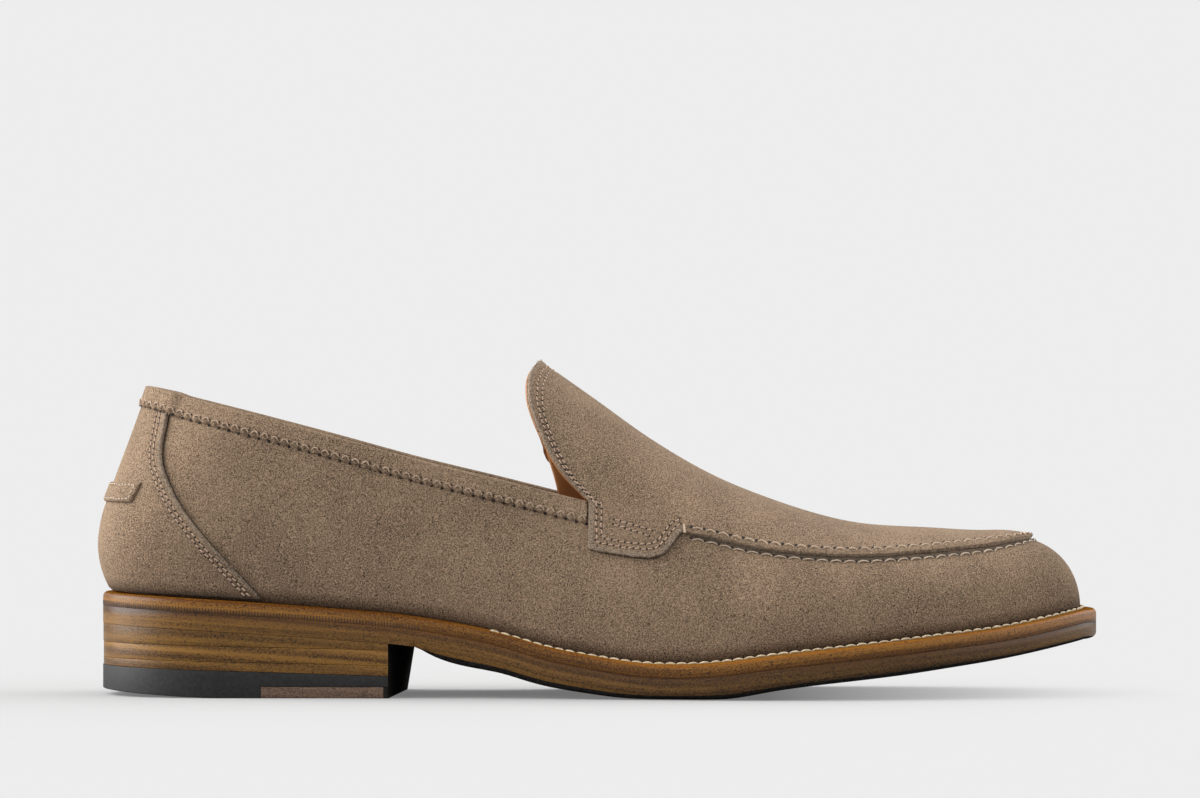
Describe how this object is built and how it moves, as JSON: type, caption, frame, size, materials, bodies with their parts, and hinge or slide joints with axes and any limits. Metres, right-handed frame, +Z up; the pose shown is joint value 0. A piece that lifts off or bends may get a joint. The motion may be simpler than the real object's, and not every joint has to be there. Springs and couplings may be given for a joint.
{
  "type": "loafer",
  "caption": "Suede apron loafer for a right foot, with a hollow upper, stitched apron and tongue, heel counter, leather sole and stacked heel with a rubber top piece.",
  "frame": {"origin": "centre of the bounding box at floor level, the floor being z = 0", "axes": "+X from heel to toe, +Y towards the medial (big-toe) side, +Z up"},
  "size_m": [0.3016, 0.1011, 0.1006],
  "materials": {
    "suede": "taupe suede with a short nap",
    "sole_leather": "stained and waxed leather edge, satin",
    "lining_leather": "smooth tan lining leather",
    "heel_rubber": "black rubber, matt",
    "thread": "waxed sewing thread"
  },
  "bodies": {
    "root": {"outsole": "sole_leather", "welt": "sole_leather", "heel_lift_1": "sole_leather", "heel_lift_2": "sole_leather", "heel_lift_3": "sole_leather", "heel_top_piece": "heel_rubber", "heel_top_inset": "sole_leather", "insole": "lining_leather", "upper": "suede", "apron": "suede", "counter": "suede", "collar_binding": "suede", "back_tab": "suede"}
  },
  "joints": []
}
